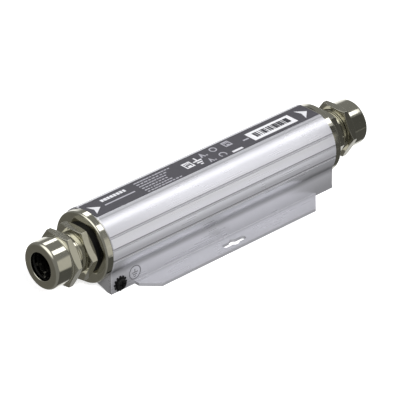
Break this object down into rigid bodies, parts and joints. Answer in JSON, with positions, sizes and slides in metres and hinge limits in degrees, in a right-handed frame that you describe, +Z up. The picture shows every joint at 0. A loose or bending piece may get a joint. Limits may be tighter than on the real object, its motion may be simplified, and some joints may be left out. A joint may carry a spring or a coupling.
{
  "type": "ethernet surge protector",
  "caption": "In-line network surge protector: fluted aluminium tube with mounting flanges, a cable gland at each end and an earth screw.",
  "frame": {"origin": "middle of the base, on the surface that the base stands on", "axes": "+X along the barrel, +Z up, -Y towards the flange with the earth screw"},
  "size_m": [0.2446, 0.064, 0.0456],
  "materials": {
    "extruded_aluminium": "satin natural anodise",
    "nickel_plate": "polished nickel on brass",
    "label_film": "dark grey printed foil",
    "sticker_paper": "white paper with dark bars",
    "black_rubber": "matt",
    "black_steel": "black oxide",
    "claw_nylon": "dark grey moulded",
    "board_laminate": "green solder mask",
    "jack_plastic": "black moulded",
    "tinned_sheet": "tin plate",
    "gilt_contact": "gold flash",
    "tube_ceramic": "glazed ceramic with tinned ends",
    "moulded_epoxy": "black moulded",
    "chip_ceramic": "glazed chip",
    "plain_brass": "turned",
    "zinc_screw": "zinc plated"
  },
  "bodies": {
    "root": {"end_cap_left": "nickel_plate", "end_cap_right": "nickel_plate", "cap_seal_left": "black_rubber", "cap_seal_right": "black_rubber", "gland_gasket_left": "black_rubber", "gland_gasket_right": "black_rubber", "gland_body_left": "nickel_plate", "gland_body_right": "nickel_plate", "gland_claws_left": "claw_nylon", "gland_claws_right": "claw_nylon", "gland_grommet_left": "black_rubber", "gland_grommet_right": "black_rubber", "jack_body_left": "jack_plastic", "jack_body_right": "jack_plastic", "jack_shield_left": "tinned_sheet", "jack_shield_right": "tinned_sheet", "jack_contacts_left": "gilt_contact", "jack_contacts_right": "gilt_contact", "housing": "extruded_aluminium", "rating_label": "label_film", "serial_sticker": "sticker_paper", "circuit_board": "board_laminate", "gas_tubes": "tube_ceramic", "suppressor_diodes": "moulded_epoxy", "line_chokes": "moulded_epoxy", "line_resistors": "chip_ceramic", "bonding_post": "plain_brass", "board_screw": "zinc_screw", "floor_screw": "zinc_screw"},
    "left_nut_travel": {"slip_ring_left": "claw_nylon"},
    "left_nut": {"dome_nut_left": "nickel_plate"},
    "right_nut_travel": {"slip_ring_right": "claw_nylon"},
    "right_nut": {"dome_nut_right": "nickel_plate"},
    "earth_travel": {"ground_lock_washer": "black_steel"},
    "earth_screw": {"ground_screw": "black_steel"}
  },
  "joints": [
    {"name": "left_nut_slide", "type": "slide", "parent": "root", "child": "left_nut_travel", "axis": [-1, 0, 0], "range_m": [-0.00301, 0.00601]},
    {"name": "left_nut_turn", "type": "hinge", "parent": "left_nut_travel", "child": "left_nut", "pos_m": [-0.11, 0, 0.0242], "axis": [-1, 0, 0], "range_deg": [-720, 1440]},
    {"name": "right_nut_slide", "type": "slide", "parent": "root", "child": "right_nut_travel", "axis": [1, 0, 0], "range_m": [-0.00301, 0.00601]},
    {"name": "right_nut_turn", "type": "hinge", "parent": "right_nut_travel", "child": "right_nut", "pos_m": [0.11, 0, 0.0242], "axis": [1, 0, 0], "range_deg": [-720, 1440]},
    {"name": "earth_screw_slide", "type": "slide", "parent": "root", "child": "earth_travel", "axis": [0, -1, 0], "range_m": [0, 0.0028]},
    {"name": "earth_screw_turn", "type": "hinge", "parent": "earth_travel", "child": "earth_screw", "pos_m": [-0.081, -0.0192, 0.005], "axis": [0, -1, 0], "range_deg": [0, 1480]}
  ],
  "couplings": [
    {"joint": "left_nut_slide", "follows": "left_nut_turn", "m_per_rad": 0.00023873},
    {"joint": "right_nut_slide", "follows": "right_nut_turn", "m_per_rad": 0.00023873},
    {"joint": "earth_screw_turn", "follows": "earth_screw_slide", "rad_per_m": 8976}
  ]
}
